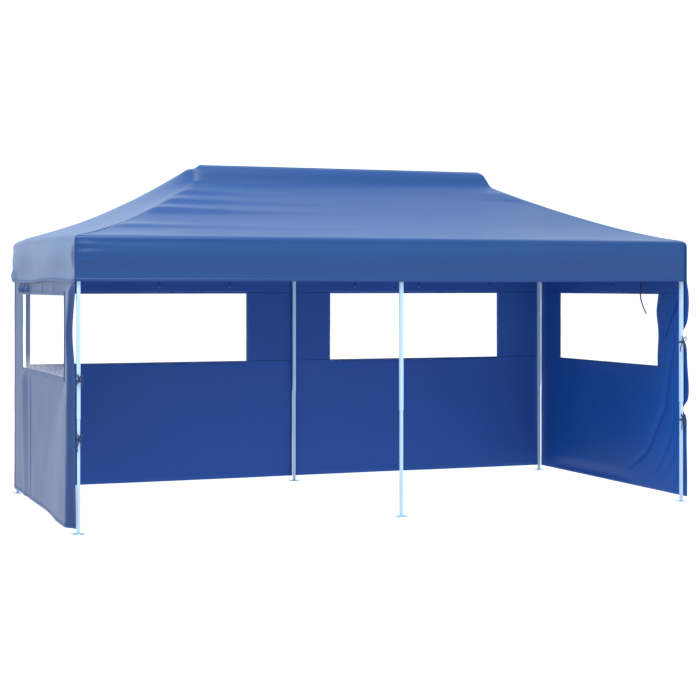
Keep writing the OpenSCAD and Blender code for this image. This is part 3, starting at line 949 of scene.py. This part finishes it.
# %% Inner seams and tabs
INSIDE = -0.0014
SEAM = 0.008
TAB_WIDTH, TAB_LOW, TAB_HIGH = 0.026, 2.025, 2.085
TABS = {"wall_left": (-0.9, 0.0, 0.9), "wall_right": (-0.75, -0.1, 0.55),
        "wall_back_left": (-2.3, -1.45, -0.7), "wall_back_right": (0.7, 1.45, 2.3)}
seams, tabs = {}, {}
for node, wall in walls.items():
    whole = (wall.start, wall.end)
    points, faces = gather([strip(wall, whole, (WINDOW_HIGH, WINDOW_HIGH + SEAM), INSIDE),
                            strip(wall, whole, (WINDOW_LOW - SEAM, WINDOW_LOW), INSIDE)])
    seams[node] = thicken(add_piece(f"{wall.name}_seams", points, faces, hem_cloth), 0.0010)
    points, faces = gather([strip(wall, (at - TAB_WIDTH / 2, at + TAB_WIDTH / 2), (TAB_LOW, TAB_HIGH), INSIDE)
                            for at in TABS[node]])
    tabs[node] = thicken(add_piece(f"{wall.name}_tabs", points, faces, tab_cloth), 0.0022)
print("seams and tabs", len(seams), len(tabs))

# %% [markdown]
# ## Stitches
# Every hem and border is sewn with a row of stitches. The rows are paths of plain edges;
# one Geometry Nodes tree puts a short thread at each step along them. The result is made
# into a mesh and the modifier goes, so the piece is plain when it is given its body.

# %% Stitching
def stitch_tree():
    tree = bpy.data.node_groups.new("stitches along a seam", "GeometryNodeTree")
    face = tree.interface
    face.new_socket("Geometry", in_out="INPUT", socket_type="NodeSocketGeometry")
    sizes = {"Pitch": 0.006, "Stitch length": 0.0042, "Thread radius": 0.0005}
    for name, value in sizes.items():
        face.new_socket(name, in_out="INPUT", socket_type="NodeSocketFloat").default_value = value
    face.new_socket("Seed", in_out="INPUT", socket_type="NodeSocketInt").default_value = 7
    face.new_socket("Geometry", in_out="OUTPUT", socket_type="NodeSocketGeometry")

    def add(kind, **settings):
        node = tree.nodes.new(kind)
        for key, value in settings.items():
            setattr(node, key, value)
        return node

    def join(a, out, b, into):
        tree.links.new(a.outputs[out], b.inputs[into])

    given, result = add("NodeGroupInput"), add("NodeGroupOutput")
    curve = add("GeometryNodeMeshToCurve")
    marks = add("GeometryNodeResampleCurve", mode="LENGTH")
    stitch = add("GeometryNodeMeshCylinder")
    stitch.inputs["Vertices"].default_value = 4
    along = add("GeometryNodeInputTangent")
    turn = add("FunctionNodeAlignRotationToVector", axis="Z")
    vary = add("FunctionNodeRandomValue", data_type="FLOAT")
    vary.inputs[2].default_value, vary.inputs[3].default_value = 0.88, 1.06
    place = add("GeometryNodeInstanceOnPoints")
    solid = add("GeometryNodeRealizeInstances")
    colour = add("GeometryNodeSetMaterial")
    colour.inputs["Material"].default_value = thread
    join(given, "Geometry", curve, "Mesh")
    join(curve, "Curve", marks, "Curve")
    join(given, "Pitch", marks, "Length")
    join(given, "Stitch length", stitch, "Depth")
    join(given, "Thread radius", stitch, "Radius")
    join(along, "Tangent", turn, "Vector")
    join(given, "Seed", vary, "Seed")
    join(marks, "Curve", place, "Points")
    join(stitch, "Mesh", place, "Instance")
    join(turn, "Rotation", place, "Rotation")
    tree.links.new(vary.outputs[1], place.inputs["Scale"])
    join(place, "Instances", solid, "Geometry")
    join(solid, "Geometry", colour, "Geometry")
    join(colour, "Geometry", result, "Geometry")
    return tree


STITCHES = stitch_tree()


def stitched(name, paths, pitch=0.006):
    """A piece with a row of stitches along each path."""
    points, edges = [], []
    for path in paths:
        first = len(points)
        points += [tuple(p) for p in path]
        edges += [(first + k, first + k + 1) for k in range(len(path) - 1)]
    mesh = bpy.data.meshes.new(name)
    mesh.from_pydata(points, edges, [])
    guide = bpy.data.objects.new(name + "_path", mesh)
    bpy.context.scene.collection.objects.link(guide)
    rows = guide.modifiers.new("stitches", "NODES")
    rows.node_group = STITCHES
    sockets = {item.name: item.identifier for item in STITCHES.interface.items_tree if item.in_out == "INPUT"}
    rows[sockets["Pitch"]] = pitch
    bpy.context.view_layer.update()
    made = bpy.data.meshes.new_from_object(guide.evaluated_get(bpy.context.evaluated_depsgraph_get()))
    bpy.data.objects.remove(guide)
    made.name = name
    piece = bpy.data.objects.new(name, made)
    bpy.context.scene.collection.objects.link(piece)
    return piece


def wall_rows(wall):
    """Where a wall is sewn: its hems, and both sides of the border of its window."""
    proud = 0.0028
    near, far = wall.window
    up = steps((WALL_LOW + 0.02, WALL_HIGH), 0.05)
    whole = steps((wall.start, wall.end), 0.05)
    rows = [wall.at(whole, WALL_LOW + 0.021, proud), wall.at(wall.start + 0.021, up, proud),
            wall.at(wall.end - 0.021, up, proud)]
    for out in (0.006, 0.024):
        low, high = WINDOW_LOW - out, WINDOW_HIGH + out
        across, upright = steps((near - out, far + out), 0.05), steps((low, high), 0.05)
        rows += [wall.at(across, low, proud), wall.at(across, high, proud),
                 wall.at(near - out, upright, proud), wall.at(far + out, upright, proud)]
    return rows


stitches = {node: stitched(f"{wall.name}_stitches", wall_rows(wall)) for node, wall in walls.items()}
roof_rows = []
for side in SIDE_HALF:
    grid = roof_side(side, section, 0.0008)
    roof_rows += [roof_side(side, hem_rows[2:], 0.0034)[0][1:-1], grid[EAVE_ROW:-3, 1], grid[EAVE_ROW:-3, -2]]
roof_stitches = stitched("roof_stitches", roof_rows)
print("stitches", {n: len(p.data.vertices) // 8 for n, p in stitches.items()})

# %% [markdown]
# ## Ties
# The walls' front edges are tied to the corner legs with short navy tapes. Each tie is a
# band round the leg, a knot in front of it, and four loops and ends that stick out of the
# knot. A tape is a flat strip that follows a few given points.

# %% Ties on the front legs
def ribbon(points, width, across):
    """A flat tape along a smooth path through the points, with its width along across."""
    raw = [Vector(p) for p in points]
    path = []
    for i in range(len(raw) - 1):
        a, b = raw[max(i - 1, 0)], raw[i]
        c, d = raw[i + 1], raw[min(i + 2, len(raw) - 1)]
        for k in range(6):
            t = k / 6
            path.append(0.5 * ((2 * b) + (c - a) * t + (2 * a - 5 * b + 4 * c - d) * t * t
                               + (3 * b - a - 3 * c + d) * t ** 3))
    path.append(raw[-1])
    half = Vector(across).normalized() * width / 2
    shape = [p + half * side for p in path for side in (-1, 1)]
    return shape, grid_faces(len(path), 2)


def tie(leg_x, leg_y, z, turn):
    """A tie round a leg at height z: a band, a knot, two loops and two loose ends."""
    reach = TUBE / 2 + 0.0035
    turns = np.linspace(0, 2 * math.pi, 17)
    ring = [(leg_x + reach * math.cos(a), leg_y + reach * math.sin(a), z) for a in turns]
    corners = [(x + 0.3 * (x - leg_x), y + 0.3 * (y - leg_y), z) for x, y, z in ring]
    shapes = [ribbon(corners, 0.016, (0, 0, 1))]
    knot = Vector((leg_x, leg_y - reach - 0.012, z))
    coil = [Vector((0.008 * math.cos(a), -0.005 * math.sin(2 * a), 0.008 * math.sin(a)))
            for a in np.linspace(0, 5.9, 14)]
    shapes.append(tube_along([knot + turn_of for turn_of in coil], 0.0065))
    for side, length in ((-1, 0.056), (1, 0.050)):
        lean = side * (0.42 + 0.10 * turn * side)
        tip = knot + Vector((lean * length, -0.012, length))
        bow = [knot, knot + Vector((lean * length * 0.75, -0.022, length * 0.45)), tip,
               knot + Vector((lean * length * 0.25, -0.006, length * 0.62)), knot]
        shapes.append(ribbon(bow, 0.011, (1.0, 0.15, -lean)))
    for side, length in ((-1, 0.095), (1, 0.060)):
        lean = side * (0.30 + 0.08 * turn)
        end = [knot, knot + Vector((lean * length * 0.6, -0.016, -length * 0.25)),
               knot + Vector((lean * length * 1.0, -0.012, -length * 0.65)),
               knot + Vector((lean * length * 0.8, -0.010, -length))]
        shapes.append(ribbon(end, 0.012, (1.0, 0.15, lean)))
    return shapes


ties = {}
for side, leg_x, heights in (("left", -LEG_X, LEFT_TIES), ("right", LEG_X, RIGHT_TIES)):
    shapes = []
    for i, z in enumerate(heights):
        shapes += tie(leg_x, -LEG_Y, z, (-1) ** i)
    points, faces = gather(shapes)
    ties[side] = thicken(add_piece(f"{side}_ties", points, faces, tape), 0.0012, 0.0)
    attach(ties[side], f"upper_leg_front_{side}" )
print("ties", {side: len(piece.data.polygons) for side, piece in ties.items()})

# %% [markdown]
# One loose tie hangs from the top of the right wall, in front of its window. It is the
# tape that holds the wall when it is rolled up.

# %% Loose tie
hang = [(WALL_X - 0.020, -0.715, 2.085), (WALL_X - 0.034, -0.728, 2.010), (WALL_X - 0.040, -0.740, 1.930),
        (WALL_X - 0.036, -0.780, 1.850), (WALL_X - 0.030, -0.828, 1.776)]
points, faces = ribbon(hang, 0.013, (0.93, -0.36, 0.0))
loose_tie = thicken(add_piece("right_wall_loose_tie", points, faces, tape), 0.0012, 0.0)

# %% [markdown]
# ## Ride
# The cover follows the back legs, as above. The side walls ride on the front corner legs;
# the back walls ride on the back middle leg.

# %% Roof
thicken(roof, 0.0012, lining=roof_lining)
thicken(roof_hem, 0.0012, 1.0)
for piece in (roof, roof_hem, roof_piping, roof_stitches):
    fold_with_frame(piece)
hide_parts("roof_canopy")


def roof_cut_area():
    """The flat area of the roof's panels, as cut."""
    t = np.linspace(0, 1, 200)
    up = np.hypot(np.diff(t) * ROOF_Y, np.diff(slope_height(t)) * RISE)
    middle_inset = (t[:-1] + t[1:]) / 2 * ROOF_Y
    slopes = sum((4 * (ROOF_X - middle_inset) + 4 * (ROOF_Y - middle_inset)) * up)
    return slopes + 4 * (ROOF_X + ROOF_Y) * (EAVE_Z - HEM_Z)


round(float(roof_cut_area()), 2)
print("roof cut area", round(float(roof_cut_area()), 2))

# %% Walls
RIDES = {"wall_left": "upper_leg_front_left", "wall_right": "upper_leg_front_right",
         "wall_back_left": BACK, "wall_back_right": BACK}


def fold_wall(piece, node):
    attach(piece, RIDES[node])
    if node in ("wall_left", "wall_right"):
        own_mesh(piece)
    else:
        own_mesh(piece)


for node, sheet in sheets.items():
    wall = walls[node]
    sewn_on = [hems[node], seams[node], tabs[node], stitches[node]]
    if node == "wall_right":
        sewn_on.append(loose_tie)
    for piece in [sheet, *sewn_on]:
        fold_wall(piece, node)
    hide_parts(node)
    near, far = wall.window
    length, height = wall.end - wall.start, WALL_HIGH - WALL_LOW
    cut = length * height - (far - near) * (WINDOW_HIGH - WINDOW_LOW)
for pane, owners in WINDOWS.items():
    for piece, slot in ((films[pane], "window_film"), (borders[pane], "blue_cloth")):
        fold_wall(piece, owners[0])
    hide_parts(pane)
    spans = [walls[owner].window for owner in owners]
    wide = [far - near + 2 * FILM_LAP for near, far in spans]
